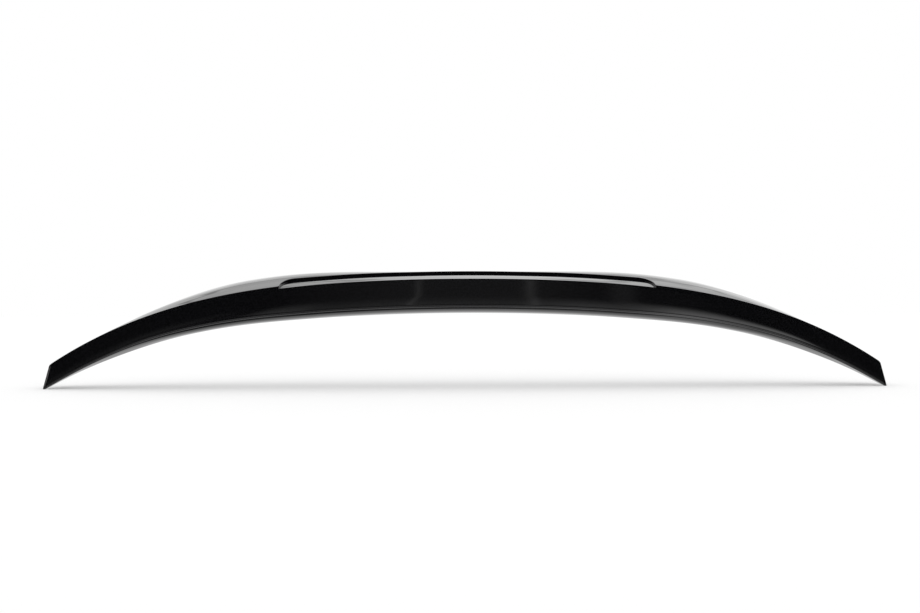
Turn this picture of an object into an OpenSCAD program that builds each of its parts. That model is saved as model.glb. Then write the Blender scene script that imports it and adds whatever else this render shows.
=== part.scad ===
// Rear spoiler for a boot lid: one gloss black moulding that is bonded along the
// rear edge of the car. From behind it is a shallow arch. A tall rear face ends in
// a crisp trailing edge, and a shallow recess with rounded ends is let into the top
// surface along the middle of that edge. Underneath it is an open shell with a
// bonding land all round and cross ribs between them.
//
// X runs across the car, Y forward and Z up. The origin is the middle of the rear
// bonding land on the centre line.

/* [Overall] */
// Width from tip to tip
overall_w = 1187; // [1000:1:1350]
// Drop of the trailing edge as a plain arc, at the tips
crown_arc = 55; // [30:1:80]
// Further drop of the trailing edge where the ends curl down, at the tips
crown_curl = 75.5; // [40:0.5:110]
// How far forward of the middle the trailing edge sits at the tips
plan_sweep = 40; // [0:1:80]

/* [Rear face] */
// Height of the rear face in the middle
face_h_mid = 52; // [42:0.5:65]
// Height of the rear face at the tips, before the foot is trimmed
face_h_tip = 30.5; // [22:0.5:40]
// How much the lower edge lifts two thirds of the way out to each tip
face_waist = 1.9; // [0:0.1:3]
// How far the rear face swells out just under the trailing edge
face_swell = 0.3; // [0:0.1:1]
// How far the foot of the rear face tucks forward
face_tuck = 2.5; // [0:0.5:5]
// Radius of the trailing edge
edge_r = 0.9; // [0.5:0.1:1.5]
// Depth of the fine step that runs along the foot of the rear face
step_d = 0.5; // [0.2:0.1:1]

/* [Lower return] */
// Depth, front to back, of the surface that rolls under the rear face, in the middle
return_d = 34; // [24:1:38]
// The same depth at the tips
return_d_tip = 12; // [8:1:16]
// Height of that roll in the middle
return_h = 8; // [5:0.5:12]
// Height of that roll towards the ends, where it is flatter
return_h_side = 7; // [4:0.5:11]
// Height of that roll at the tips
return_h_tip = 3; // [2:0.5:6]

/* [Top surface] */
// Front to back length in the middle
chord_mid = 130; // [110:1:150]
// Front to back length at the tips
chord_tip = 60; // [50:1:80]
// Height of the crest over the trailing edge in the middle
crest_h_mid = 6.1; // [3:0.1:9]
// Height of the crest at the shoulders
crest_h_shoulder = 13; // [8:0.1:17]
// Distance of the crest from the trailing edge in the middle
crest_y_mid = 52; // [46:1:60]
// Distance of the crest from the trailing edge at the shoulders
crest_y_shoulder = 80; // [60:1:90]
// Distance of the crest from the trailing edge at the tips
crest_y_tip = 12; // [8:1:34]
// Share of the way to the crest over which the top rises evenly, in the middle
rise_even_mid = 0.6; // [0:0.05:0.8]
// The same share at the shoulders
rise_even_shoulder = 0.4; // [0:0.05:0.8]
// Distance of each shoulder from the centre line
shoulder_x = 275; // [200:5:320]
// Level of the leading edge below the trailing edge
lead_drop = 6; // [4:0.5:14]
// Thickness of the leading edge
lead_t = 3.2; // [2:0.1:5]

/* [Edge recess] */
// Length of the recess along the trailing edge
recess_w = 523; // [300:5:600]
// Front to back length of the recess in the middle
recess_run_mid = 44; // [30:1:50]
// How much less that length is towards the ends of the recess
recess_bend = 10; // [0:0.5:14]
// Length of each rounded end of the recess
recess_end = 21; // [12:1:30]
// Depth of the recess at the trailing edge
recess_t_edge = 3.4; // [1:0.1:4]
// Height of the riser at the back of the recess
recess_t_riser = 3.7; // [1.5:0.1:5]
// How much the floor of the recess bulges over a straight line, as a share of its rise
recess_crown = 0.4; // [0:0.05:0.6]

/* [Ends] */
// How much further out the lower corner of each end is than the upper one
end_slant = 10.8; // [4:0.2:16]
// Thickness of the end walls
end_wall = 4; // [3:0.5:8]
// Bevel round each end
end_bevel = 2; // [1:0.2:3]
// Height taken off the lowest corner to leave a level foot
foot_trim = 4; // [1:0.5:6]

/* [Shell] */
// Wall thickness
wall = 3; // [2:0.1:4]
// Width of the rear bonding land
land_rear = 14; // [10:1:18]
// Width of the front bonding land
land_front = 18; // [12:1:22]
// Width of the lip that borders each land
land_lip = 3; // [2:0.5:5]
// Depth of the tape seat behind the lip
seat_d = 0.8; // [0.4:0.1:1.5]
// Number of cross ribs on each side
ribs = 6; // [4:1:8]
// Thickness of the cross ribs
rib_t = 2.4; // [1.5:0.1:4]
// Draft on each side of a rib
rib_draft = 0.4; // [0.2:0.1:1]
// Height of the ribs' free edge above the inside of the two flanges
rib_gap = 1.2; // [0.4:0.1:5]

/* [Hidden] */

half_w = overall_w / 2;
half_top = half_w - end_slant;
recess_half = recess_w / 2;
cell_end = half_top - end_wall - end_bevel;
rib_pitch = cell_end / (ribs + 0.5);
foot_z = -(crown_arc + crown_curl + face_h_tip) + foot_trim;
edge_out = 1.5;

function blend(a, b, t) = a + (b - a) * t;
function side(x) = x < 0 ? -1 : 1;
// Share of the half width, 0 on the centre line and 1 at the tips
function share(x) = abs(x) / half_w;
// Smooth rise from 0 at a to 1 at b
function ease(a, b, v) = let (t = max(0, min(1, (v - a) / (b - a)))) t * t * (3 - 2 * t);
// A size that has one value in the middle, one at the shoulder and one at the tip. It
// changes over the two stretches out and on, each a pair of distances from the middle.
function three(mid, shoulder, tip, x, out, on) =
    blend(blend(mid, shoulder, ease(out[0], out[1], abs(x))), tip, ease(on[0], on[1], abs(x)));

// The trailing edge, seen from behind and from above
function trail_z(x) = -crown_arc * pow(share(x), 2) - crown_curl * pow(share(x), 4);
function trail_y(x) = plan_sweep * pow(share(x), 2);

function face_h(x) =
    let (s = share(x))
    blend(face_h_mid, face_h_tip, pow(s, 3)) - face_waist * ease(0.35, 0.6, s) * (1 - ease(0.65, 0.85, s));
function chord(x) = blend(chord_mid, chord_tip, pow(share(x), 3));
function roll_d(x) = blend(return_d, return_d_tip, pow(share(x), 2));
function roll_h(x) =
    blend(blend(return_h, return_h_side, ease(0.3 * half_w, 0.65 * half_w, abs(x))),
          return_h_tip,
          ease(0.75 * half_w, half_w, abs(x)));
// 0 where the return is a full round, near 1 where it is almost flat
function roll_flat(x) = 0.85 * ease(0.25 * half_w, 0.6 * half_w, abs(x));

// The crest of the top: its height over the trailing edge, its distance from that edge,
// and the share of the way to it over which the top rises evenly
function crest_h(x) =
    three(crest_h_mid, crest_h_shoulder, 0, x,
          [0.2 * shoulder_x, shoulder_x], [1.1 * shoulder_x, 0.9 * half_w]);
function crest_y(x) =
    three(crest_y_mid, crest_y_shoulder, crest_y_tip, x,
          [0.15 * shoulder_x, 0.8 * shoulder_x], [1.1 * shoulder_x, half_w]);
function rise_even(x) =
    three(rise_even_mid, rise_even_shoulder, 0, x,
          [0.7 * shoulder_x, 1.05 * shoulder_x], [1.1 * shoulder_x, 1.4 * shoulder_x]);

// Height of the top surface over the trailing edge, y forward of it: it rises evenly,
// rounds over as a parabola to the crest, and then falls to the leading edge
function top_z(x, y) =
    let (h = crest_h(x),
         c = crest_y(x),
         e = rise_even(x),
         t = y / c,
         s = (y - c) / (chord(x) - c))
    y >= c ? h - (h + lead_drop + 4 * pow(share(x), 2)) * (1.75 - 0.75 * s) * s * s
    : t < e ? h * 2 * t / (1 + e)
    : h * (1 - pow(1 - t, 2) / (1 - e * e));

// The recess: how far it runs forward of the trailing edge, less towards its ends, so
// that its front edge is nearly straight across. Its floor rises in a shallow convex
// curve from the trailing edge to the foot of the riser.
function in_recess(x) = abs(x) < recess_half;
function recess_run(x) = recess_run_mid - recess_bend * pow(min(1, abs(x) / recess_half), 2);
function recess_y(x) =
    let (past = abs(x) - (recess_half - recess_end))
    !in_recess(x) ? min(recess_run(x), edge_out + 0.25 * (abs(x) - recess_half) + 0.05)
    : past <= 0 ? recess_run(x)
    : max(edge_out, recess_run(x) * sqrt(max(0, 1 - pow(past / recess_end, 2))));
function recess_t(x, y) =
    let (v = y / recess_run(x),
         rise = top_z(x, recess_run(x)) - recess_t_riser + recess_t_edge)
    in_recess(x) ? top_z(x, y) - rise * (v + recess_crown * v * (1 - v)) + recess_t_edge : 0;
function floor_z(x, y) = top_z(x, y) - recess_t(x, y);

// The bonding plane, from the lower edge to the leading edge
function bond_z(x, y) =
    let (y0 = roll_d(x), y1 = chord(x) - 2, z1 = top_z(x, chord(x)) - lead_t)
    blend(-face_h(x), z1, (y - y0) / (y1 - y0));

// The rear face, s = 0 at the trailing edge and 1 where the roll starts: it swells out
// over its first eighth, stands upright, and tucks forward over its last two fifths
function face_y(s) =
    -face_swell * (1 - pow(max(0, 1 - 8 * s), 2)) + face_tuck * pow(max(0, (s - 0.6) / 0.4), 2);
function roll_top(x) = -(face_h(x) - roll_h(x));
// The roll, a = 0 where it leaves the face and 90 at the lower edge
function roll_y(x, a) = blend(face_y(1) + step_d, roll_d(x), 1 - cos(a));
function roll_z(x, a) =
    let (f = roll_flat(x)) roll_top(x) - roll_h(x) * ((1 - f) * sin(a) + f * (1 - cos(a)));

// Underside of the top skin, lowered under the recess
function skin_z(x, y) =
    top_z(x, y) - wall
    - (y <= recess_run_mid + wall
       ? (recess_t_edge + 0.6) * (1 - ease(recess_half, recess_half + 30, abs(x))) : 0);

// Mouth of the shell, between the two bonding lands
function mouth_rear(x) = roll_d(x) + land_rear;
function mouth_front(x) = chord(x) - 2 - land_front;

// Outline of the hollow at x, from the front land back to the rear land. It reaches
// over both lands, so that they are flanges of the wall's thickness. Across a rib the
// same points lie along the rib's free edge.
rib_at = [0, 0, 0.1, 0.22, 0.32, 0.4, 0.48, 0.56, 0.64, 0.74, 0.84, 0.93, 1, 1];
hollow_n = len(rib_at);
function hollow(x) =
    let (yf = mouth_front(x), yr = mouth_rear(x), yb = wall + face_tuck + step_d, d = roll_d(x),
         yt = yf + 0.62 * land_front, ys = min(recess_run_mid + wall, yf - 5))
    [[yf, bond_z(x, yf) + seat_d],
     [yf, bond_z(x, yf) + seat_d + wall],
     [yt, bond_z(x, yt) + seat_d + wall],
     [yt - 0.5, max(skin_z(x, yt), bond_z(x, yt) + seat_d + wall + 0.3)],
     [blend(yt, ys, 0.35), skin_z(x, blend(yt, ys, 0.35))],
     [blend(yt, ys, 0.7), skin_z(x, blend(yt, ys, 0.7))],
     [ys + 1, skin_z(x, recess_run_mid + wall + 1)],
     [ys, skin_z(x, recess_run_mid + wall)],
     [wall + 1, skin_z(x, wall)],
     [yb, roll_z(x, 25) + wall],
     [blend(yb, d, 0.4), roll_z(x, 52) + wall],
     [d, bond_z(x, d) + seat_d + wall],
     [yr, bond_z(x, yr) + seat_d + wall],
     [yr, bond_z(x, yr) + seat_d]];
function rib_edge(x) =
    let (yf = mouth_front(x), yr = mouth_rear(x))
    [for (k = [0 : hollow_n - 1])
        let (y = blend(yf, yr, rib_at[k]),
             inward = min(k, hollow_n - 1 - k))
        [y, bond_z(x, y) + seat_d + (inward == 0 ? 0 : wall + rib_gap * min(1, (inward - 1) / 2))]];

// Whole outline at x, from the trailing edge over the top and back underneath
top_n = 9;
roll_at = [90, 68, 46, 26, 10];
face_at = [0.86, 0.73, 0.6, 0.3, 0.12];
function outline(x, open) =
    let (yc = recess_y(x), c = chord(x), yf = mouth_front(x), yr = mouth_rear(x),
         zt = -recess_t(x, 0), zr = roll_top(x), d = roll_d(x))
    concat(
        [[0.3 * edge_r, floor_z(x, edge_r) - 0.3 * edge_r],
         [edge_r, floor_z(x, edge_r)]],
        [for (k = [1 : 3]) let (y = blend(edge_r, yc, k / 3)) [y, floor_z(x, y)]],
        [for (k = [0 : top_n])
            let (y = blend(yc + 0.5, c, k / top_n)) [y, top_z(x, y)]],
        [[c + 0.6, top_z(x, c) - 0.4 * lead_t],
         [c - 0.2, top_z(x, c) - 0.85 * lead_t],
         [c - 2, bond_z(x, c - 2)],
         [c - 2 - land_lip, bond_z(x, c - 2 - land_lip)],
         [c - 2.5 - land_lip, bond_z(x, c - 2.5 - land_lip) + seat_d]],
        open ? hollow(x) : rib_edge(x),
        [[d + land_lip + 0.5, bond_z(x, d + land_lip + 0.5) + seat_d],
         [d + land_lip, bond_z(x, d + land_lip)]],
        [for (a = roll_at) [roll_y(x, a), roll_z(x, a)]],
        [[roll_y(x, 0), zr],
         [face_y(0.97) + step_d, zr + 1.4],
         [face_y(0.96), zr + 1.7]],
        [for (s = face_at) [face_y(s), blend(zt, zr, s)]],
        [[-0.1, zt - edge_r]]);

// Where the points of an outline lie on the car. Towards the ends the outline leans
// outwards as it goes down, so that the end is cut on a slant, and its lowest corner
// is trimmed to a level foot.
function place(x, p) =
    let (down = max(0, min(1, -p[1] / face_h(x))),
         px = x + side(x) * end_slant * pow(abs(x) / half_top, 8) * down)
    [px, trail_y(px) + p[0], max(foot_z, trail_z(px) + p[1] * face_h(px) / face_h(x))]
    - bond_at;
bond_mid = roll_d(0) + land_rear / 2;
bond_at = [0, bond_mid, bond_z(0, bond_mid) + seat_d];

// Stations along one side: both flanks of each rib, the ends of the recess, and
// stations between them that close up towards the tips
function rib_x(k) = (k - 0.5) * rib_pitch;
rib_stations = [for (k = [1 : ribs], dx = [-rib_t / 2 - rib_draft, -rib_t / 2, rib_t / 2, rib_t / 2 + rib_draft])
    rib_x(k) + dx];
recess_stations = concat(
    [for (a = [0, 22, 40, 55, 68, 79]) recess_half - recess_end * (1 - sin(a))],
    [recess_half - 0.02, recess_half + 0.5]);
run_n = 25;
run_stations = [for (k = [1 : run_n - 1]) let (v = k / run_n) cell_end * (1.35 * v - 0.35 * v * v)];
function near(x, list, gap) = len([for (v = list) if (abs(v - x) < gap) 1]) > 0;
function sorted(list) =
    len(list) < 2 ? list :
    let (p = list[floor(len(list) / 2)])
    concat(sorted([for (v = list) if (v < p) v]),
           [for (v = list) if (v == p) v],
           sorted([for (v = list) if (v > p) v]));
side_stations = sorted(concat(
    rib_stations,
    [for (v = recess_stations) if (!near(v, rib_stations, 0.15)) v],
    [for (v = run_stations) if (!near(v, rib_stations, 5) && !near(v, recess_stations, 4)) v],
    [cell_end - rib_draft, cell_end, half_top - end_bevel]));
stations = concat([for (k = [len(side_stations) - 1 : -1 : 0]) -side_stations[k]], [0], side_stations);

function is_open(x) =
    abs(x) < cell_end - rib_draft / 2
    && len([for (k = [1 : ribs]) if (abs(abs(x) - rib_x(k)) < rib_t / 2 + rib_draft / 2) 1]) == 0;

// The bevelled ring and the middle point that close an end
function middle(list) = [for (i = [0 : 1]) let (v = [for (p = list) p[i]]) (min(v) + max(v)) / 2];
function end_ring(x) =
    let (o = outline(x, false), m = middle(o), k = 1 - 2 * end_bevel / face_h_tip)
    [for (p = o) place(x, m + (p - m) * k)];
function end_middle(x) = let (o = outline(x, false)) place(x, middle(o));

// Joins rings of points of equal length into one closed skin. The diagonals of the two
// halves mirror each other.
module skin(rings, first, last) {
    m = len(rings[0]);
    n = len(rings);
    points = concat([for (r = rings) each r], [first, last]);
    sides = [for (i = [0 : n - 2], j = [0 : m - 1])
        let (a = i * m + j, b = i * m + (j + 1) % m, c = b + m, d = a + m)
        each i < (n - 1) / 2 ? [[a, b, d], [b, c, d]] : [[a, b, c], [a, c, d]]];
    start = [for (j = [0 : m - 1]) [n * m, (j + 1) % m, j]];
    finish = [for (j = [0 : m - 1]) [n * m + 1, (n - 1) * m + j, (n - 1) * m + (j + 1) % m]];
    polyhedron(points, concat(sides, start, finish), convexity = 12);
}

module spoiler_body() {
    color("#16171a")
    skin(concat(
            [end_ring(-half_top)],
            [for (x = stations) [for (p = outline(x, is_open(x))) place(x, p)]],
            [end_ring(half_top)]),
        end_middle(-half_top),
        end_middle(half_top));
}

spoiler_body();
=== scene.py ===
# %% [markdown]
# # A gloss black rear spoiler
#
# The object is the long black moulding that is bonded along the rear edge of a boot
# lid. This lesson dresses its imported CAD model: it builds the skin again as one fine
# surface, gives it paint outside and bare moulded plastic inside, and sets up the
# plain white studio that a black mirror-like surface needs.

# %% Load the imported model
import math
import bpy
import numpy as np
from mathutils import Matrix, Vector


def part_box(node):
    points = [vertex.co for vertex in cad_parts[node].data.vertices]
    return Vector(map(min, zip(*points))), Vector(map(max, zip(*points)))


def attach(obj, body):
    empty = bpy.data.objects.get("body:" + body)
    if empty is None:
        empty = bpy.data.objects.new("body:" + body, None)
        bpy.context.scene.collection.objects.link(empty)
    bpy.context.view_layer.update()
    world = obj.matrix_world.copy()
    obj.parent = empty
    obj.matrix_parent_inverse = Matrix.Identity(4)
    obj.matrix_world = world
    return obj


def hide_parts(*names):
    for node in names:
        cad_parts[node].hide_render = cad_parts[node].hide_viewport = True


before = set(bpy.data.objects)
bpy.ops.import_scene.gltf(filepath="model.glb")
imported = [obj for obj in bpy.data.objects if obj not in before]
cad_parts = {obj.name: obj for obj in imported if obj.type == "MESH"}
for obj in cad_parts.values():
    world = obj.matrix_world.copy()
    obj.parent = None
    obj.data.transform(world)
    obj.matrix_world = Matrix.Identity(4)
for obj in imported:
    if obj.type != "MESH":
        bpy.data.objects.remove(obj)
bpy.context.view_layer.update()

low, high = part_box("spoiler_body")
print("CAD box in metres:", [round(v, 4) for v in low], [round(v, 4) for v in high])

# %% [markdown]
# ## The sizes that drive the form
#
# The real part is one moulding whose cross section changes evenly from the middle to
# the tips. A few sizes in the middle, at the shoulders and at the tips say it all, and
# every station across the car blends between them. They are in millimetres, and those
# that the CAD model has too carry its names.

# %% Sizes of the outside
MM = 0.001
# Overall: width, drop of the trailing edge, and how far forward its tips are swept
OVERALL_W = 1187
CROWN_ARC = 55
CROWN_CURL = 75.5
PLAN_SWEEP = 40
# Rear face, with the radius of the trailing edge and the fine step near its foot
FACE_H_MID = 52
FACE_H_TIP = 30.5
FACE_WAIST = 1.9
FACE_SWELL = 0.3
FACE_TUCK = 2.5
EDGE_R = 0.9
STEP_D = 0.5
# Roll that turns forward under the rear face, lower at the tips than in the CAD model
RETURN_D = 34
RETURN_D_TIP = 12
RETURN_H = 8
RETURN_H_SIDE = 7
RETURN_H_TIP = 1
# Top surface
CHORD_MID = 130
CHORD_TIP = 60
CREST_H_MID = 6.08
CREST_H_SHOULDER = 13
CREST_Y_MID = 52
CREST_Y_SHOULDER = 80
CREST_Y_TIP = 12
RISE_EVEN_MID = 0.6
RISE_EVEN_SHOULDER = 0.4
SHOULDER_X = 275
# Leading edge: its drop, what the drop gains at the tips, its thickness, its round
# nose, and how far behind it the bonding plane ends
LEAD_DROP = 6
LEAD_DROP_TIP = 4
LEAD_T = 3.2
NOSE_OUT = 0.9
LEAD_BACK = 2
# Recess in the top along the trailing edge
RECESS_W = 523
RECESS_RUN_MID = 44
RECESS_BEND = 10
RECESS_END = 21
RECESS_FADE = 0.9
RECESS_T_EDGE = 3.4
RECESS_T_RISER = 3.7
RECESS_CROWN = 0.4
print("the outside spans", OVERALL_W, "mm and is", CHORD_MID, "mm from back to front")

# %% Sizes of the ends and the shell
# Ends: slant, wall and bevel, and the level foot
END_SLANT = 10.8
END_WALL = 4
END_BEVEL = 2
FOOT_TRIM = 4
# Shell: wall, bonding lands with their lip and tape seat, and ribs
WALL = 3
LAND_REAR = 14
LAND_FRONT = 18
LAND_LIP = 3
SEAT_D = 0.8
RIBS = 6
RIB_T = 2.4
RIB_DRAFT = 0.4
RIB_GAP = 1.2
print("walls are", WALL, "mm thick, with", RIBS, "ribs to each side")

# %% Sizes worked out from them
HALF_W = OVERALL_W / 2
HALF_TOP = HALF_W - END_SLANT
RECESS_HALF = RECESS_W / 2
CELL_END = HALF_TOP - END_WALL - END_BEVEL
RIB_PITCH = CELL_END / (RIBS + 0.5)
FOOT_Z = -(CROWN_ARC + CROWN_CURL + FACE_H_TIP) + FOOT_TRIM
print("half width", HALF_W, "mm, rib pitch", round(RIB_PITCH, 1), "mm")

# %% [markdown]
# ## Curves that run across the car
#
# Seen from behind, the trailing edge is a plain arc with an extra curl towards the
# tips. It could be drawn as a spline through measured points, but a formula stays
# smooth at every station, and a mirror shows the smallest kink. The height of the rear
# face, the length front to back and the crest of the top all follow the same share of
# the half width.

# %% Helpers for smooth change
def blend(a, b, t):
    """a where t is 0 and b where t is 1, in a straight line between."""
    return a + (b - a) * t


def ease(a, b, v):
    """Smooth rise from 0 at v = a to 1 at v = b: three t squared less two t cubed."""
    t = np.clip((v - a) / (b - a), 0, 1)
    return t * t * (3 - 2 * t)


def share(x):
    """Share of the half width, 0 in the middle and 1 at the tips."""
    return np.abs(x) / HALF_W


def three(mid, shoulder, tip, x, out, on):
    """One value in the middle, one at the shoulders and one at the tips, eased between
    over the two stretches out and on, each a pair of distances from the middle."""
    to_shoulder = ease(*out, np.abs(x))
    to_tip = ease(*on, np.abs(x))
    return blend(blend(mid, shoulder, to_shoulder), tip, to_tip)


print("share at the shoulders", round(share(SHOULDER_X), 3))

# %% The crest across the car
CREST_H_OUT = (0.2 * SHOULDER_X, SHOULDER_X)
CREST_H_ON = (1.1 * SHOULDER_X, 0.9 * HALF_W)
CREST_Y_OUT = (0.15 * SHOULDER_X, 0.8 * SHOULDER_X)
CREST_Y_ON = (1.1 * SHOULDER_X, HALF_W)
RISE_OUT = (0.7 * SHOULDER_X, 1.05 * SHOULDER_X)
RISE_ON = (1.1 * SHOULDER_X, 1.4 * SHOULDER_X)


def crest_h(x):
    """Height of the crest over the trailing edge, down to nothing at the tips."""
    return three(CREST_H_MID, CREST_H_SHOULDER, 0, x, CREST_H_OUT, CREST_H_ON)


def crest_y(x):
    """How far forward of the trailing edge the crest lies."""
    return three(CREST_Y_MID, CREST_Y_SHOULDER, CREST_Y_TIP, x, CREST_Y_OUT, CREST_Y_ON)


def rise_even(x):
    """Share of the way to the crest over which the top rises evenly."""
    return three(RISE_EVEN_MID, RISE_EVEN_SHOULDER, 0, x, RISE_OUT, RISE_ON)


print("crest", CREST_H_MID, "mm in the middle,", CREST_H_SHOULDER, "mm at the shoulders")

# %% The edges and the rear face across the car
WAIST_FROM = (0.35, 0.6)
WAIST_TO = (0.65, 0.85)
ROLL_TO_SIDE = (0.3 * HALF_W, 0.65 * HALF_W)
ROLL_TO_TIP = (0.75 * HALF_W, HALF_W)


def trail_z(x):
    """Height of the trailing edge: an arc in the square and a curl in the fourth power."""
    return -CROWN_ARC * share(x) ** 2 - CROWN_CURL * share(x) ** 4


def trail_y(x):
    """How far forward the trailing edge is swept, in the square of the share."""
    return PLAN_SWEEP * share(x) ** 2


def face_h(x):
    """Height of the rear face, less by a cube towards the tips, and less by the waist
    about two thirds of the way out."""
    s = share(x)
    waist = FACE_WAIST * ease(*WAIST_FROM, s) * (1 - ease(*WAIST_TO, s))
    return blend(FACE_H_MID, FACE_H_TIP, s ** 3) - waist


def chord(x):
    """Length from the trailing to the leading edge, less by a cube towards the tips."""
    return blend(CHORD_MID, CHORD_TIP, share(x) ** 3)


def roll_d(x):
    """How far forward the roll turns, less by a square towards the tips."""
    return blend(RETURN_D, RETURN_D_TIP, share(x) ** 2)


def roll_h(x):
    """Height of the roll, a little less at the sides and hardly any at the tips."""
    side = blend(RETURN_H, RETURN_H_SIDE, ease(*ROLL_TO_SIDE, np.abs(x)))
    return blend(side, RETURN_H_TIP, ease(*ROLL_TO_TIP, np.abs(x)))


print("face", FACE_H_MID, "mm high in the middle and", FACE_H_TIP, "mm at the tips")

# %% [markdown]
# ## Curves that run from back to front
#
# Each cross section starts at the trailing edge, steps up out of the recess, rises
# over a soft crest and falls to a thin leading edge. Underneath, the rear face rolls
# forward into the lower edge. The recess could be cut with a Boolean, but as a depth
# that is taken off the same top it keeps one clean grid, and its ends round off evenly.

# %% The top and its recess
EDGE_OUT = 1.5
OUTSIDE_SLOPE = 0.25


def top_z(x, y):
    """Height of the top over the trailing edge. It rises evenly for a share e of the way
    to the crest, then rounds over as a parabola that is level at the crest. In front of
    the crest it falls as 1.75 s squared less 0.75 s cubed, with s the share of the way."""
    h = crest_h(x)
    c = crest_y(x)
    e = rise_even(x)
    t = y / c
    s = (y - c) / (chord(x) - c)
    rise = np.where(t < e, 2 * t / (1 + e), 1 - (1 - t) ** 2 / (1 - e * e))
    fall = (h + LEAD_DROP + LEAD_DROP_TIP * share(x) ** 2) * (1.75 - 0.75 * s) * s * s
    return np.where(y < c, h * rise, h - fall)


def recess_run(x):
    """Front to back length of the recess, less towards its ends by the bend times the
    square, so that its front edge runs nearly straight across while the back is swept."""
    return RECESS_RUN_MID - RECESS_BEND * np.minimum(1, np.abs(x) / RECESS_HALF) ** 2


def recess_y(x):
    """How far forward the recess runs, closed by a quarter of an ellipse at each end.
    Outside it the same points spread over the plain top at an even slope."""
    past = np.clip(np.abs(x) - (RECESS_HALF - RECESS_END), 0, RECESS_END)
    inside = np.maximum(EDGE_OUT, recess_run(x) * np.sqrt(1 - (past / RECESS_END) ** 2))
    spread_out = EDGE_OUT + OUTSIDE_SLOPE * (np.abs(x) - RECESS_HALF)
    return np.where(np.abs(x) < RECESS_HALF, inside, np.minimum(recess_run(x), spread_out))


def recess_t(x, y):
    """Depth of the recess under the top. Its floor rises in a shallow convex curve, v plus
    the crown times v (1 - v), from the trailing edge to the foot of the riser. The depth
    fades to nothing over a rounded corner at each end."""
    v = y / recess_run(x)
    rise = top_z(x, recess_run(x)) - RECESS_T_RISER + RECESS_T_EDGE
    floor = rise * (v + RECESS_CROWN * v * (1 - v)) - RECESS_T_EDGE
    fade = 1 - ease(RECESS_HALF, RECESS_HALF + RECESS_FADE, np.abs(x))
    return fade * (top_z(x, y) - floor)


middle = np.array([[0.0]])
print("crest in the middle", round(float(top_z(middle, CREST_Y_MID + middle)[0, 0]), 2), "mm")

# %% The rear face, the roll and the bonding plane
SWELL_OVER = 0.125
TUCK_FROM = 0.6
TUCK_AT_TIP = 0.5
TUCK_CHANGE = (0.72 * HALF_W, 0.9 * HALF_W)
FLAT_AT_TIP = 0.85
FLAT_CHANGE = (0.6 * HALF_W, 0.85 * HALF_W)


def face_tuck(x):
    """How far the foot of the rear face is tucked forward, half as much at the tips."""
    return FACE_TUCK * (1 - (1 - TUCK_AT_TIP) * ease(*TUCK_CHANGE, np.abs(x)))


def face_y(x, s):
    """The rear face, s = 0 at the top and 1 at its foot: a slight swell, then upright,
    then tucked forward in the square of the way over the last two fifths."""
    swell = 1 - np.maximum(0, 1 - s / SWELL_OVER) ** 2
    tuck = np.maximum(0, (s - TUCK_FROM) / (1 - TUCK_FROM)) ** 2
    return -FACE_SWELL * swell + face_tuck(x) * tuck


def roll_z(x, a):
    """Height on the roll at angle a: a full round in the middle, flatter to the sides."""
    f = FLAT_AT_TIP * ease(*FLAT_CHANGE, np.abs(x))
    drop = (1 - f) * np.sin(a) + f * (1 - np.cos(a))
    return -(face_h(x) - roll_h(x)) - roll_h(x) * drop


def roll_y(x, a):
    """How far forward the roll has turned at angle a, in one less the cosine."""
    return blend(face_tuck(x) - FACE_SWELL + STEP_D, roll_d(x), 1 - np.cos(a))


def bond_z(x, y):
    """The bonding plane, straight from the lower edge to the leading edge."""
    y0 = roll_d(x)
    y1 = chord(x) - LEAD_BACK
    z1 = top_z(x, chord(x)) - LEAD_T
    return blend(-face_h(x), z1, (y - y0) / (y1 - y0))


print("rear face tucks", FACE_TUCK, "mm in the middle,", FACE_TUCK * TUCK_AT_TIP, "mm at the tips")

# %% [markdown]
# ## One outline, as strips
#
# The CAD solid has few faces, and a black mirror would show each of them. The same
# section is therefore carried again with many points, and with small round edges where
# the paint catches light: the trailing edge, the foot and the lip of the riser, and
# the fine step near the foot of the rear face. A Bevel modifier could round them too,
# but strips with a point count of their own keep the grid even. Each strip below gives
# y and z for all stations at once, as arrays with a row for each station and a column
# for each point.

# %% Helpers for strips
def columns(start, end, count):
    """A row of count values from start to end."""
    return np.linspace(start, end, count)[None, :]


def spread(*strips):
    """Lets each (y, z) pair fill the same grid, and joins the pairs side by side."""
    pairs = [np.broadcast_arrays(y, z) for y, z in strips]
    return np.hstack([p[0] for p in pairs]), np.hstack([p[1] for p in pairs])


print("three columns:", columns(0, 1, 3))

# %% Strips from the trailing edge to the riser
EDGE_POINTS = 7
FLOOR_POINTS = 7
RISER_FOOT_POINTS = 4
RISER_LIP_POINTS = 6
RISER_POINTS = RISER_FOOT_POINTS + RISER_LIP_POINTS
FILLET = 0.8
RISER_R = 0.9
RISER_LEAN = 0.3
ROUND_SHARE = 0.4


def trailing_edge(x):
    """A quarter round, from the rear face over to the recess floor."""
    a = columns(0, math.pi / 2, EDGE_POINTS)
    z_top = top_z(x, EDGE_R) - recess_t(x, EDGE_R)
    z_low = -recess_t(x, 0 * x) - EDGE_R
    y_low = face_y(x, z_low / roll_z(x, 0.0))
    y = EDGE_R - (EDGE_R - y_low) * np.cos(a)
    return y, z_low + (z_top - z_low) * np.sin(a)


def foot_fillet(x):
    """Radius at the foot of the riser, less where the recess closes."""
    return np.minimum(FILLET, ROUND_SHARE * (recess_y(x) - EDGE_R))


def recess_floor(x):
    """Even steps from the trailing edge to where the riser's foot starts to round."""
    y_end = recess_y(x) - foot_fillet(x)
    y = blend(EDGE_R, y_end, columns(1 / FLOOR_POINTS, 1, FLOOR_POINTS))
    return y, top_z(x, y) - recess_t(x, y)


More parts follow.
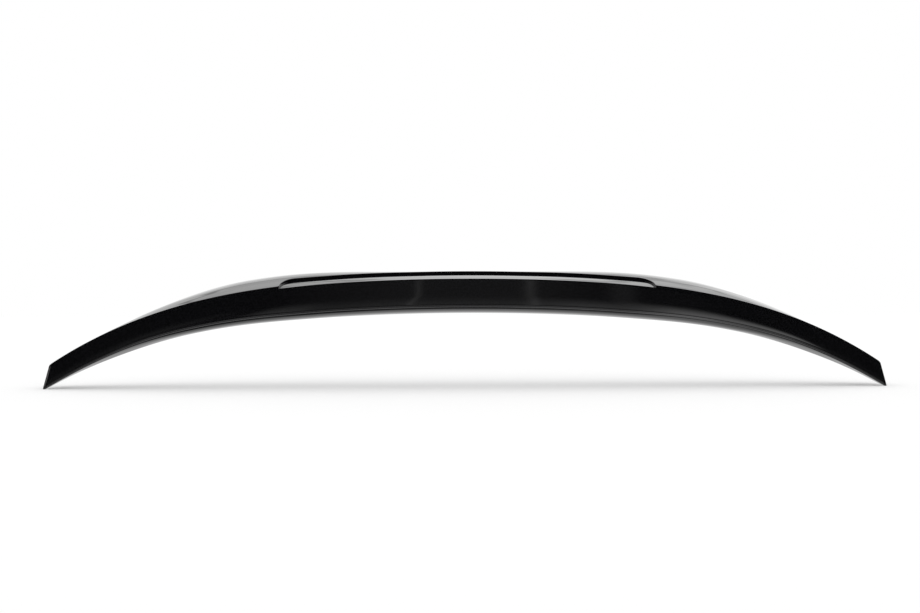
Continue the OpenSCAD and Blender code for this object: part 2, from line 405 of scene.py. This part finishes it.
def riser(x):
    """A hollow quarter round at the foot, a nearly upright wall and a round lip."""
    foot = columns(math.pi / 2 / RISER_FOOT_POINTS, math.pi / 2, RISER_FOOT_POINTS)
    lip = columns(0, math.pi / 2, RISER_LIP_POINTS)
    r = foot_fillet(x)
    y0 = recess_y(x)
    depth = recess_t(x, y0)
    round_r = np.minimum(RISER_R, ROUND_SHARE * depth)
    foot_y = y0 - r + r * np.sin(foot)
    foot_z = np.minimum(1, depth) * r * (1 - np.cos(foot)) - depth
    lip_y = y0 + RISER_LEAN + RISER_R * (1 - np.cos(lip))
    lip_z = round_r * (np.sin(lip) - 1)
    y, z = spread((foot_y, foot_z), (lip_y, lip_z))
    return y, top_z(x, y) + z


print("edge, floor and riser have", EDGE_POINTS + FLOOR_POINTS + RISER_POINTS, "points")

# %% Strips of the top and the leading edge
TOP_POINTS = 28
NOSE_POINTS = 6


def top_surface(x):
    """Even steps from the lip of the riser to the leading edge."""
    start = recess_y(x) + RISER_LEAN + RISER_R
    y = blend(start, chord(x), columns(1 / TOP_POINTS, 1, TOP_POINTS))
    return y, top_z(x, y)


def leading_edge(x):
    """A thin nose that swells out as a half sine and turns back under in the square of
    the way, down to the bonding plane."""
    t = columns(1 / NOSE_POINTS, 1, NOSE_POINTS)
    c = chord(x)
    z_end = bond_z(x, c - LEAD_BACK)
    y = c + NOSE_OUT * np.sin(math.pi * t) - LEAD_BACK * t * t
    return y, blend(top_z(x, c), z_end, t)


print("top and leading edge have", TOP_POINTS + NOSE_POINTS, "points")

# %% Strips of the roll, the fine step and the rear face
ROLL_POINTS = 15
STEP_POINTS = 10
BEAD_POINTS = 9
FACE_POINTS = 23
FOOT_H = 1.9
GROOVE_Z = 1.0
GROOVE_R = 0.9
GROOVE_D = 0.25
GROOVE_FROM = 0.9
BEAD_Z = 4.0
BEAD_R = 0.8
BEAD_H = 0.2


def lower_roll(x):
    """Even turns from the lower edge back up to the foot of the rear face."""
    a = columns(math.pi / 2, 0, ROLL_POINTS)
    return roll_y(x, a), roll_z(x, a)


def foot_step(x):
    """The fine step: a hairline groove, one less u squared, squared, and over it an eased
    rise out to the rear face."""
    up = columns(GROOVE_Z - GROOVE_FROM * GROOVE_R, FOOT_H, STEP_POINTS)
    z = roll_z(x, 0.0) + up
    out = ease(GROOVE_Z, FOOT_H, up)
    u = (up - GROOVE_Z) / GROOVE_R
    groove = GROOVE_D * (1 - np.minimum(1, u * u)) ** 2
    return face_y(x, z / roll_z(x, 0.0)) + STEP_D * (1 - out) + groove, z


def bead(x):
    """A hairline bead over the step: one less u squared, squared, with u from -1 to 1."""
    u = columns(-1, 1, BEAD_POINTS)
    z = roll_z(x, 0.0) + BEAD_Z + BEAD_R * u
    return face_y(x, z / roll_z(x, 0.0)) - BEAD_H * (1 - u * u) ** 2, z


def rear_face(x):
    """Even steps from the bead up to the trailing edge, less both ends."""
    z_foot = roll_z(x, 0.0) + BEAD_Z + BEAD_R
    z_top = -recess_t(x, 0 * x) - EDGE_R
    steps = FACE_POINTS + 1
    z = blend(z_foot, z_top, columns(1 / steps, FACE_POINTS / steps, FACE_POINTS))
    return face_y(x, z / roll_z(x, 0.0)), z


print("roll, step, bead and face have", ROLL_POINTS + STEP_POINTS + BEAD_POINTS + FACE_POINTS, "points")

# %% [markdown]
# ## The open shell underneath
#
# The hidden side is what such mouldings have: walls of one thickness, a flange along
# the front and the rear that the tape sits on, and cross ribs. Solidify could give the
# walls their thickness, but not the flanges or the ribs. Here the hollow is part of the
# same outline. Across a rib its points run along the rib's free edge, so the skin stays
# one closed surface and nothing has to be cut.

# %% Strips of the hollow
FLANGE_REACH = 0.62
SKIN_AT = (0.35, 0.7)
ROLL_AT = (25, 52)
ROLL_BACK = 0.4
UNDER_RECESS = 0.6
UNDER_FADE = 30
FLANGE_STEP = 0.5
FLANGE_CLEAR = 0.3
RECESS_CLEAR = 5


def skin_z(x, y):
    """Underside of the top skin, one wall down, and lower still under the recess."""
    fade = 1 - ease(RECESS_HALF, RECESS_HALF + UNDER_FADE, np.abs(x))
    under = (RECESS_T_EDGE + UNDER_RECESS) * fade
    return top_z(x, y) - WALL - np.where(y <= RECESS_RUN_MID + WALL, under, 0)


def mouth(x):
    """The free edges of the two lands, front and rear."""
    return chord(x) - LEAD_BACK - LAND_FRONT, roll_d(x) + LAND_REAR


def hollow(x):
    """From the front land's free edge up, along the skin, and back to the rear land."""
    yf, yr = mouth(x)
    yb = WALL + FACE_TUCK + STEP_D + 0 * x
    d = roll_d(x)
    yt = yf + FLANGE_REACH * LAND_FRONT
    step_at = RECESS_RUN_MID + WALL
    ys = np.minimum(step_at, yf - RECESS_CLEAR)
    over = bond_z(x, yt) + SEAT_D + WALL
    low_turn, high_turn = [math.radians(a) for a in ROLL_AT]
    along = [blend(yt, ys, s) for s in SKIN_AT]
    points = [
        (yf, bond_z(x, yf) + SEAT_D),
        (yf, bond_z(x, yf) + SEAT_D + WALL),
        (yt, over),
        (yt - FLANGE_STEP, np.maximum(skin_z(x, yt), over + FLANGE_CLEAR)),
        *[(y, skin_z(x, y)) for y in along],
        (ys + 1, skin_z(x, step_at + 1 + 0 * x)),
        (ys, skin_z(x, step_at + 0 * x)),
        (WALL + 1 + 0 * x, skin_z(x, WALL + 0 * x)),
        (yb, roll_z(x, low_turn) + WALL),
        (blend(yb, d, ROLL_BACK), roll_z(x, high_turn) + WALL),
        (d, bond_z(x, d) + SEAT_D + WALL),
        (yr, bond_z(x, yr) + SEAT_D + WALL),
        (yr, bond_z(x, yr) + SEAT_D),
    ]
    return spread(*points)


print("hollow has", hollow(middle)[0].shape[1], "points")

# %% Strips of a rib's edge and of the lands
RIB_AT = [0, 0, 0.1, 0.22, 0.32, 0.4, 0.48, 0.56, 0.64, 0.74, 0.84, 0.93, 1, 1]
LAND_POINTS = 2
SEAT_SLOPE = 0.5


def rib_edge(x):
    """The same points along a line over the two flanges, from the front to the rear,
    stepped up in two stages at each end."""
    share_back = np.array(RIB_AT)[None, :]
    yf, yr = mouth(x)
    y = blend(yf, yr, share_back)
    rise = np.full(len(RIB_AT), WALL + RIB_GAP)
    rise[[0, -1]] = 0
    rise[[1, -2]] = WALL
    rise[[2, -3]] = WALL + RIB_GAP / 2
    return y, bond_z(x, y) + SEAT_D + rise[None, :]


def front_land(x):
    """The slope between the front lip and its tape seat."""
    y = chord(x) - LEAD_BACK - LAND_LIP - columns(0, SEAT_SLOPE, LAND_POINTS)
    return y, bond_z(x, y) + columns(0, SEAT_D, LAND_POINTS)


def rear_land(x):
    """The slope between the rear tape seat and its lip."""
    y = roll_d(x) + LAND_LIP + columns(SEAT_SLOPE, 0, LAND_POINTS)
    return y, bond_z(x, y) + columns(SEAT_D, 0, LAND_POINTS)


print("a rib's edge has", len(RIB_AT), "points")

# %% [markdown]
# ## Stations across the car
#
# A mirror finish needs even stations, and the ribs, the ends of the recess and the end
# bevels need their own. They are laid out on one side and mirrored, so both halves are
# the same. An even place that falls too near one of the others is left out, because
# two rings close together pinch the reflection.

# %% The end's rim
END_INSET = 0.45
BEVEL_RUN = 2.2
BEVEL_TURN = 22
BEVEL_ON_R = 0.8
BEVEL_OFF_R = 1.6
BEVEL_ON_POINTS = 4
BEVEL_OFF_POINTS = 8


def end_profile():
    """The end's rim as (still to go out, drawn in), in mm: a small round on to the bevel,
    the bevel, and a small round off it on to the end wall."""
    bevel = math.radians(BEVEL_TURN)
    on = [
        BEVEL_ON_R * np.array([math.sin(a), 1 - math.cos(a)])
        for a in np.linspace(0, bevel, BEVEL_ON_POINTS)
    ]
    foot = on[-1] + BEVEL_RUN * np.array([math.cos(bevel), math.sin(bevel)])
    from_foot = np.array([math.sin(bevel), -math.cos(bevel)])
    off = [
        foot + BEVEL_OFF_R * (np.array([math.sin(a), -math.cos(a)]) - from_foot)
        for a in np.linspace(bevel, math.pi / 2, BEVEL_OFF_POINTS)
    ]
    path = on + off
    return [(path[-1][0] - out, draw) for out, draw in path]


rim_width = end_profile()[0][0]
print("the rim takes the last", round(rim_width, 2), "mm of each end")

# %% Stations
STATION_GAP = 2.8
KEEP_OFF = 0.9
KEEP_OFF_RIBS = 0.1
CORNER_TURN = 3
CORNER_PLACES = 6
CORNER_START = 0.02
BEFORE_RIM = 0.2


def rib_centres():
    """Where the ribs of one side lie."""
    return (np.arange(1, RIBS + 1) - 0.5) * RIB_PITCH


def rib_places():
    """Both flanks of every rib, and the drafted foot of each flank."""
    offsets = np.array([-RIB_T / 2 - RIB_DRAFT, -RIB_T / 2, RIB_T / 2, RIB_T / 2 + RIB_DRAFT])
    return (rib_centres()[:, None] + offsets[None, :]).ravel()


def without_near(values, others, gap):
    """values, less those that lie within gap of any of the others."""
    distance = np.abs(values[:, None] - others[None, :]).min(axis=1)
    return values[distance >= gap]


turn = np.radians(np.arange(0, 90 - CORNER_TURN, CORNER_TURN))
corner = np.linspace(0, RECESS_FADE, CORNER_PLACES + 1)[1:]
recess_places = np.concatenate([
    RECESS_HALF - RECESS_END * (1 - np.sin(turn)),
    RECESS_HALF + np.concatenate([[-CORNER_START], corner]),
])
even_places = np.linspace(STATION_GAP, CELL_END, round(CELL_END / STATION_GAP))[:-1]
last_place = HALF_TOP - END_INSET - rim_width - BEFORE_RIM
places = np.concatenate([rib_places(), [CELL_END - RIB_DRAFT, CELL_END, last_place]])
recess_places = without_near(recess_places, places, KEEP_OFF_RIBS)
places = np.concatenate([places, recess_places])
even_places = without_near(even_places, places, KEEP_OFF)
side_places = np.sort(np.concatenate([places, even_places]))
stations = np.concatenate([-side_places[::-1], [0.0], side_places])[:, None]
print(len(stations), "stations")

# %% [markdown]
# ## Setting the sections in place
#
# The sections stand upright along the arch. Towards the ends each one leans outwards as
# it goes down, which cuts the end on a slant, and the lowest corner is trimmed level.
# All points of all stations are placed at once, as one array.

# %% Place the sections on the car
SLANT_POWER = 8
BOND_Y = RETURN_D + LAND_REAR / 2
BOND_Z = float(bond_z(middle, BOND_Y + middle)[0, 0]) + SEAT_D


def place(x, y, z):
    """Moves a section's points along the arch: outwards by the end slant times the share
    of the way down, then forward by the sweep and up or down by the trailing edge."""
    down = np.clip(-z / face_h(x), 0, 1)
    px = x + np.sign(x) * END_SLANT * (np.abs(x) / HALF_TOP) ** SLANT_POWER * down
    pz = trail_z(px) + z * face_h(px) / face_h(x)
    return np.stack([px, trail_y(px) + y - BOND_Y, np.maximum(FOOT_Z, pz) - BOND_Z], axis=2)


def is_open(x):
    """True where the station is in a cell, false where it is in a rib or an end wall."""
    in_rib = np.abs(np.abs(x) - rib_centres()[None, :]) < (RIB_T + RIB_DRAFT) / 2
    return (np.abs(x) < CELL_END - RIB_DRAFT / 2) & ~in_rib.any(axis=1, keepdims=True)


def section(x):
    """The whole closed outline at every station x."""
    cell = hollow(x)
    rib = rib_edge(x)
    inner = [np.where(is_open(x), a, b) for a, b in zip(cell, rib)]
    return spread(
        trailing_edge(x), recess_floor(x), riser(x), top_surface(x), leading_edge(x),
        front_land(x), inner, rear_land(x), lower_roll(x), foot_step(x), bead(x), rear_face(x),
    )


section_y, section_z = section(stations)
rings = place(stations, section_y, section_z)
print("rings of", rings.shape[1], "points")

# %% [markdown]
# ## Camera
#
# The photo looks at the spoiler from behind, almost level, from about three spans
# away. The camera could be aimed by eye, but a long arch shows every degree of turn,
# so its place, its aim, its slight roll and its lens come from a fit to the tips, the
# ends of the recess and the two long edges. Both points are measured from the middle of
# the trailing edge, in millimetres.

# %% Camera at the photo's viewing angle
CAMERA_PLACE = (-136.2, -3591.4, 83.6)
CAMERA_AIM = (-11.2, 0, -41.9)
CAMERA_ROLL = -0.11
LENS = 101.7


def look_from(place, aim, roll):
    """Turn of a camera at place that looks at aim: its -Z runs along the line of sight,
    its Y leans to the world's Z, and roll in degrees turns it about that line."""
    sight = np.array(aim, float) - np.array(place, float)
    yaw = math.atan2(-sight[0], sight[1])
    pitch = math.atan2(sight[2], math.hypot(sight[0], sight[1]))
    level_view = Matrix.Rotation(yaw, 3, "Z") @ Matrix.Rotation(math.pi / 2 + pitch, 3, "X")
    return level_view @ Matrix.Rotation(math.radians(roll), 3, "Z")


camera_data = bpy.data.cameras.new("photo_camera")
camera_data.sensor_width = 36
camera_data.lens = LENS
camera_data.clip_end = 50
camera = bpy.data.objects.new("photo_camera", camera_data)
camera.location = [(v - b) * MM for v, b in zip(CAMERA_PLACE, (0, BOND_Y, BOND_Z))]
camera.rotation_euler = look_from(CAMERA_PLACE, CAMERA_AIM, CAMERA_ROLL).to_euler()
bpy.context.scene.collection.objects.link(camera)
bpy.context.scene.camera = camera
print("camera stands", round(math.dist(CAMERA_PLACE, CAMERA_AIM)), "mm from its aim")

# %% [markdown]
# ## Rounded ends
#
# Each end is closed by a wall with a narrow bevel round its rim, which catches a line of
# light. One flat face could close it, but such a face with hundreds of corners shades
# badly. So the bevel starts and stops in a small round, and rings shrink across the wall
# to a point in its middle.

# %% Close the ends
WALL_RINGS = (0.8, 0.55, 0.3, 0.12)


def end_rings(x):
    """Rings from the last station outwards along the rim, then shrunk in steps across the
    end wall, and the point in its middle."""
    y, z = section(np.array([[x]]))
    my = (y.min() + y.max()) / 2
    mz = (z.min() + z.max()) / 2
    half_deep = (y.max() - y.min()) / 2
    made = []
    for out, draw in end_profile():
        k = 1 - draw / half_deep
        rim_x = np.array([[x - np.sign(x) * out]])
        made.append(place(rim_x, my + (y - my) * k, mz + (z - mz) * k)[0])
    for k in WALL_RINGS:
        made.append(place(np.array([[x]]), my + (y - my) * k, mz + (z - mz) * k)[0])
    tip = place(np.array([[x]]), np.array([[my]]), np.array([[mz]]))[0]
    return np.array(made), tip


left_rings, left_tip = end_rings(END_INSET - HALF_TOP)
right_rings, right_tip = end_rings(HALF_TOP - END_INSET)
grid = np.concatenate([left_rings[::-1], rings, right_rings])
print(len(grid), "rings with the ends")

# %% [markdown]
# ## The mesh
#
# The grid becomes quads between each ring and the next, closed round the outline, and a
# fan at each tip. All faces are worked out as whole arrays, and they point outwards.
# The tape seats and the hollow between them are marked for the bare plastic.

# %% Build the spoiler as one closed mesh
def closed_mesh(name, grid, first, last):
    """Joins rings of points of equal length: quads between neighbours, fans at the ends.
    Seen from outside, the corners of each face run anticlockwise."""
    n, m = grid.shape[:2]
    points = np.concatenate([grid.reshape(-1, 3), first, last]) * MM
    i, j = np.meshgrid(np.arange(n - 1), np.arange(m), indexing="ij")
    a = i * m + j
    b = i * m + (j + 1) % m
    quads = np.stack([a, a + m, b + m, b], axis=2).reshape(-1, 4)
    k = np.arange(m)
    last_ring = (n - 1) * m
    start = np.stack([np.full(m, n * m), k, (k + 1) % m], axis=1)
    finish = np.stack([np.full(m, n * m + 1), last_ring + (k + 1) % m, last_ring + k], axis=1)
    faces = quads.tolist() + start.tolist() + finish.tolist()
    mesh = bpy.data.meshes.new(name)
    mesh.from_pydata(points.tolist(), [], faces)
    mesh.update()
    return mesh


OUTER_POINTS = EDGE_POINTS + FLOOR_POINTS + RISER_POINTS + TOP_POINTS + NOSE_POINTS
INNER_END = OUTER_POINTS + LAND_POINTS + len(RIB_AT) + LAND_POINTS
mesh = closed_mesh("spoiler_skin", grid, left_tip, right_tip)
ring_size = grid.shape[1]
column = np.arange(len(mesh.polygons)) % ring_size
is_quad = np.arange(len(mesh.polygons)) < (len(grid) - 1) * ring_size
bare = is_quad & (column >= OUTER_POINTS) & (column < INNER_END - 1)
print(len(mesh.polygons), "faces, of which", int(bare.sum()), "are bare inside")

# %% [markdown]
# ## Shading, and the place in the frame
#
# Smooth shading carries the mirror image on from face to face, and edges that turn by
# more than a set angle stay crisp. The object sits at the origin with its place in its
# mesh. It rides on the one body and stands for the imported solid.

# %% Smooth shading and the object
CRISP_TURN = 38
body = bpy.data.objects.new("spoiler_skin", mesh)
bpy.context.scene.collection.objects.link(body)
mesh.polygons.foreach_set("use_smooth", np.ones(len(mesh.polygons), dtype=bool))
mesh.set_sharp_from_angle(angle=math.radians(CRISP_TURN))
mesh.polygons.foreach_set("material_index", bare.astype(np.int32))
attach(body, "root")
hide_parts("spoiler_body")
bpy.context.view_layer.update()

# %% [markdown]
# ## Gloss black paint
#
# The finish is deep black under a dense clear coat. Its colour hardly matters: what one
# sees is the mirror image of the studio, faint where the surface faces the eye and almost
# white where it is seen edge on. A coat layer over a rough base could give it, but one
# smooth layer with a high index of refraction renders cleaner. Long shallow waves along
# the car and a faint ripple keep it from looking like glass.

# %% Helpers for materials
def new_material(name):
    """An empty material with its nodes and links."""
    material = bpy.data.materials.new(name)
    material.use_nodes = True
    nodes = material.node_tree.nodes
    nodes.clear()
    return material, nodes, material.node_tree.links


def new_plastic(name, colour, ior):
    """A material with a Principled shader, and its Object coordinates."""
    material, nodes, links = new_material(name)
    position = nodes.new("ShaderNodeTexCoord").outputs["Object"]
    shader = nodes.new("ShaderNodeBsdfPrincipled")
    shader.inputs["Base Color"].default_value = (*colour, 1)
    shader.inputs["IOR"].default_value = ior
    output = nodes.new("ShaderNodeOutputMaterial")
    links.new(shader.outputs["BSDF"], output.inputs["Surface"])
    return material, nodes, links, shader, position


def noise(nodes, links, source, scale, detail):
    """A noise pattern on the given coordinates, scale in cells to the metre."""
    node = nodes.new("ShaderNodeTexNoise")
    node.inputs["Scale"].default_value = scale
    node.inputs["Detail"].default_value = detail
    links.new(source, node.inputs["Vector"])
    return node.outputs["Fac"]


NOISE_LOW = 0.3
NOISE_HIGH = 0.7


def mapped(nodes, links, source, low, high):
    """Turns the range that most of a noise pattern keeps to into low to high."""
    node = nodes.new("ShaderNodeMapRange")
    node.inputs["From Min"].default_value = NOISE_LOW
    node.inputs["From Max"].default_value = NOISE_HIGH
    node.inputs["To Min"].default_value = low
    node.inputs["To Max"].default_value = high
    links.new(source, node.inputs["Value"])
    return node.outputs["Result"]


def bump(nodes, links, source, height, under=None):
    """Raises the surface by the pattern times height, in metres, over another bump."""
    node = nodes.new("ShaderNodeBump")
    node.inputs["Strength"].default_value = 1
    node.inputs["Distance"].default_value = height
    links.new(source, node.inputs["Height"])
    if under:
        links.new(under, node.inputs["Normal"])
    return node.outputs["Normal"]


print("materials are built from noise on Object coordinates, mapped to roughness or bump")

# %% Paint material
PAINT_COLOUR = (0.003, 0.003, 0.0035)
PAINT_IOR = 1.8
PAINT_ROUGHNESS = (0.03, 0.055)
WAVE_STRETCH = (0.06, 1, 0.06)
WAVE_SCALE = 40
WAVE_H = 0.0008
RIPPLE_SCALE = 260
RIPPLE_H = 0.000002
HAZE_SCALE = 18
paint, nodes, links, shader, position = new_plastic("gloss_black_paint", PAINT_COLOUR, PAINT_IOR)
lengthwise = nodes.new("ShaderNodeMapping")
lengthwise.inputs["Scale"].default_value = WAVE_STRETCH
links.new(position, lengthwise.inputs["Vector"])
wave_pattern = noise(nodes, links, lengthwise.outputs["Vector"], WAVE_SCALE, detail=1)
waves = bump(nodes, links, wave_pattern, WAVE_H)
ripple = noise(nodes, links, position, RIPPLE_SCALE, detail=2)
links.new(bump(nodes, links, ripple, RIPPLE_H, waves), shader.inputs["Normal"])
haze = noise(nodes, links, position, HAZE_SCALE, detail=4)
links.new(mapped(nodes, links, haze, *PAINT_ROUGHNESS), shader.inputs["Roughness"])
mesh.materials.append(paint)
print("paint roughness runs from", PAINT_ROUGHNESS[0], "to", PAINT_ROUGHNESS[1])

# %% [markdown]
# ## Bare moulded plastic inside
#
# The inside is never seen on the car, so it is left as it came from the mould: the same
# black plastic with a dull, very finely grained surface. Fine noise makes the grain, and
# a coarser one varies the roughness as the melt's flow does.

# %% Inside material
INSIDE_COLOUR = (0.012, 0.012, 0.013)
INSIDE_IOR = 1.5
INSIDE_ROUGHNESS = (0.38, 0.52)
GRAIN_SCALE = 1400
GRAIN_H = 0.00003
FLOW_SCALE = 30
inside, nodes, links, shader, position = new_plastic("moulded_black_plastic", INSIDE_COLOUR, INSIDE_IOR)
grain = noise(nodes, links, position, GRAIN_SCALE, detail=3)
links.new(bump(nodes, links, grain, GRAIN_H), shader.inputs["Normal"])
flow = noise(nodes, links, position, FLOW_SCALE, detail=4)
links.new(mapped(nodes, links, flow, *INSIDE_ROUGHNESS), shader.inputs["Roughness"])
mesh.materials.append(inside)
print("materials:", [m.name for m in mesh.materials])

# %% [markdown]
# ## Floor
#
# The spoiler stands on the two level feet at its tips, on a plain white table. Mirrored
# rays don't see the table itself, because the world draws it for them further on. A
# little glow of its own brings it up to white, and the soft shadow stays.

# %% Table top
FLOOR_FRONT = -2150
FLOOR_BACK = 2600
FLOOR_SIDE = 3000
TABLE_COLOUR = (0.72, 0.72, 0.72)
TABLE_GLOW = 0.28
floor_z = low[2]


def flat_sheet(name, x0, x1, y0, y1, z):
    """One level rectangle, sizes in millimetres and height in metres."""
    corners = np.array([[x0, y0], [x1, y0], [x1, y1], [x0, y1]]) * MM
    points = np.column_stack([corners, np.full(4, z)])
    sheet_mesh = bpy.data.meshes.new(name)
    sheet_mesh.from_pydata(points.tolist(), [], [[0, 1, 2, 3]])
    sheet_mesh.update()
    sheet = bpy.data.objects.new(name, sheet_mesh)
    bpy.context.scene.collection.objects.link(sheet)
    return sheet


floor = flat_sheet("table_top", -FLOOR_SIDE, FLOOR_SIDE, FLOOR_FRONT, FLOOR_BACK, floor_z)
table, nodes, links = new_material("white_table")
cover = nodes.new("ShaderNodeBsdfDiffuse")
cover.inputs["Color"].default_value = (*TABLE_COLOUR, 1)
glow = nodes.new("ShaderNodeEmission")
glow.inputs["Strength"].default_value = TABLE_GLOW
both = nodes.new("ShaderNodeAddShader")
output = nodes.new("ShaderNodeOutputMaterial")
links.new(cover.outputs["BSDF"], both.inputs[0])
links.new(glow.outputs["Emission"], both.inputs[1])
links.new(both.outputs["Shader"], output.inputs["Surface"])
floor.data.materials.append(table)
floor.visible_glossy = False
print("table top at", round(floor_z, 4), "m")

# %% [markdown]
# ## The white studio
#
# A black mirror shows its surroundings, so they are drawn with care, by the direction that
# a mirrored ray takes. Real cards and lamps could stand there instead, but each would cast
# light on the table and show its edges from other sides. A direction's Z says how high it
# goes, and its bearing, X over Y, how far to the side. The helpers below build smooth
# steps and strips from plain arithmetic nodes.

# %% World nodes
world = bpy.data.worlds.new("white_studio")
bpy.context.scene.world = world
world.use_nodes = True
nodes = world.node_tree.nodes
links = world.node_tree.links
nodes.clear()


def math_node(kind, a, b=None):
    """One arithmetic node. a and b are sockets or plain numbers."""
    node = nodes.new("ShaderNodeMath")
    node.operation = kind
    for socket, value in zip(node.inputs, (a, b)):
        if value is None:
            continue
        if isinstance(value, (int, float)):
            socket.default_value = value
        else:
            links.new(value, socket)
    return node.outputs["Value"]


def chain(kind, first, *others):
    """The same operation on plain numbers and sockets, one after the other."""
    for other in others:
        first = math_node(kind, first, other)
    return first


print("the world starts with", len(nodes), "nodes")

# %% Smooth steps and strips
STRIP_CORE = 0.2
LEAST_DEPTH = 0.2


def smooth_rise(value, start, end):
    """0 below start, 1 above end and a smooth rise between."""
    node = nodes.new("ShaderNodeMapRange")
    node.interpolation_type = "SMOOTHSTEP"
    node.inputs["From Min"].default_value = start
    node.inputs["From Max"].default_value = end
    links.new(value, node.inputs["Value"])
    return node.outputs["Result"]


def smooth_fall(value, start, end):
    """1 below start, 0 above end and a smooth fall between."""
    return math_node("SUBTRACT", 1.0, smooth_rise(value, start, end))


def soft_step(value, start, end, strength):
    """0 below start, strength above end and a smooth change between."""
    return math_node("MULTIPLY", smooth_rise(value, start, end), strength)


def soft_strip(value, centre, half, strength):
    """strength at centre, down to 0 in a smooth fall at half to each side of it."""
    off = math_node("ABSOLUTE", math_node("SUBTRACT", value, centre))
    return math_node("MULTIPLY", smooth_fall(off, STRIP_CORE * half, half), strength)


direction = nodes.new("ShaderNodeSeparateXYZ")
links.new(nodes.new("ShaderNodeTexCoord").outputs["Generated"], direction.inputs["Vector"])
across, along, up = [direction.outputs[axis] for axis in "XYZ"]
# The depth never falls to nothing, so straight to the side the bearing stays a number
depth = math_node("MAXIMUM", math_node("ABSOLUTE", along), LEAST_DEPTH)
bearing = math_node("DIVIDE", across, depth)
print("direction and bearing take", len(nodes), "nodes")

# %% [markdown]
# ## Backdrop
#
# The backdrop stands ahead, beyond the spoiler, and the top mirrors it. It is white, a
# little dimmer to the left, ends softly above and to the sides, and has one seam that
# draws the faint lengthwise streak on the top.

# %% Backdrop ahead
AHEAD = (-0.25, 0.2)
BACKDROP_TOP = (0.5, 0.8)
BACKDROP_SIDES = (0.7, 0.9)
LEFT_FADE = (-0.15, 0.15)
LEFT_DIM = 0.26
HORIZON = (-0.05, 0.05)
SEAM_AT = 0.385
SEAM_HALF = 0.03
SEAM_DIM = 0.45
left_above = chain("MULTIPLY", smooth_fall(bearing, *LEFT_FADE), soft_step(up, *HORIZON, LEFT_DIM))
seam = soft_strip(up, SEAM_AT, SEAM_HALF, SEAM_DIM)
cloth = chain("SUBTRACT", 1.0, left_above, seam)
between = smooth_fall(math_node("ABSOLUTE", across), *BACKDROP_SIDES)
ahead = smooth_rise(along, *AHEAD)
backdrop = chain("MULTIPLY", ahead, smooth_fall(up, *BACKDROP_TOP), chain("MULTIPLY", cloth, between))
print("backdrop drawn with", len(nodes), "nodes so far")

# %% [markdown]
# ## Room, table and side light
#
# The rear face mirrors what lies behind the camera: a dim room with a few faint upright
# strips of light, and black above it. The roll under it mirrors the table, which is lit
# in patches near the camera and fully white right under the spoiler. A low light strip
# far to the left draws the line on the left end. Each strip is a bearing, half its width
# and its strength, and each step is where it starts, where it ends and its strength.

# %% Room behind the camera
ROOM_TOP = (0.0, 0.3)
ROOM_DARK = 0.004
ROOM_STRIPS = ((0.03, 0.2, 0.05), (0.196, 0.022, 0.06), (0.104, 0.006, 0.22), (-0.0158, 0.004, 0.17))
room_strips = [soft_strip(bearing, *strip) for strip in ROOM_STRIPS]
room = chain("MULTIPLY", smooth_fall(up, *ROOM_TOP), chain("ADD", ROOM_DARK, *room_strips))
print("room has", len(room_strips), "strips")

# %% Table and side light
TABLE_LIT = 0.13
TABLE_STRIPS = ((-0.165, 0.03, -0.1), (-0.12, 0.035, 0.17), (0.25, 0.06, 0.85))
TABLE_STEPS = ((0.09, 0.15, 0.25), (0.26, 0.32, -0.3))
TABLE_EDGE = (-0.6, 0.0)
UNDER_SPOILER = (-0.95, -0.76)
SIDE_STRIP = (-2.3, 0.9, 1.0)
SIDE_TOP = (0.1, 0.2)
table_strips = [soft_strip(bearing, *strip) for strip in TABLE_STRIPS]
table_steps = [soft_step(bearing, *step) for step in TABLE_STEPS]
patches = chain("ADD", TABLE_LIT, *table_strips, *table_steps)
near_table = chain("MULTIPLY", smooth_fall(up, *TABLE_EDGE), patches)
ground = chain("MAXIMUM", near_table, smooth_fall(up, *UNDER_SPOILER))
side_light = chain("MULTIPLY", soft_strip(bearing, *SIDE_STRIP), smooth_fall(up, *SIDE_TOP))
mirrored = chain("MAXIMUM", backdrop, chain("ADD", room, ground), side_light)
print("surroundings drawn with", len(nodes), "nodes")

# %% [markdown]
# ## World
#
# The eye's own rays and the soft light on the table see plain white, at a strength of 1.
# Only mirrored and transmitted rays see the drawn surroundings.

# %% World
rays = nodes.new("ShaderNodeLightPath")
mirror_ray = math_node("MAXIMUM", rays.outputs["Is Glossy Ray"], rays.outputs["Is Transmission Ray"])
mix = nodes.new("ShaderNodeMix")
mix.inputs["A"].default_value = 1
links.new(mirror_ray, mix.inputs["Factor"])
links.new(mirrored, mix.inputs["B"])
studio = nodes.new("ShaderNodeBackground")
studio.inputs["Color"].default_value = (1, 1, 1, 1)
links.new(mix.outputs["Result"], studio.inputs["Strength"])
output = nodes.new("ShaderNodeOutputWorld")
links.new(studio.outputs["Background"], output.inputs["Surface"])
print("world is white to the eye and drawn by direction for reflections")

# %% [markdown]
# ## Soft panel behind the spoiler
#
# One wide soft light stands behind the spoiler, low over the backdrop's foot, and adds
# to what the top mirrors. It is hidden from the eye, so the backdrop stays plain.

# %% Soft panel
PANEL_W = 7.0
PANEL_H = 1.6
PANEL_PLACE = (0, 2.6, 0.75)
PANEL_POWER = 9.5
panel_data = bpy.data.lights.new("soft_panel", "AREA")
panel_data.shape = "RECTANGLE"
panel_data.size = PANEL_W
panel_data.size_y = PANEL_H
panel_data.energy = PANEL_POWER
panel = bpy.data.objects.new("soft_panel", panel_data)
panel.location = PANEL_PLACE
panel.rotation_euler = (math.radians(-90), 0, 0)
panel.visible_camera = False
bpy.context.scene.collection.objects.link(panel)
print("soft panel of", PANEL_W, "by", PANEL_H, "m")

# %% [markdown]
# ## Colours as they are
#
# The picture's greys are kept without a film look.

# %% Plain colours
bpy.context.scene.view_settings.view_transform = "Standard"
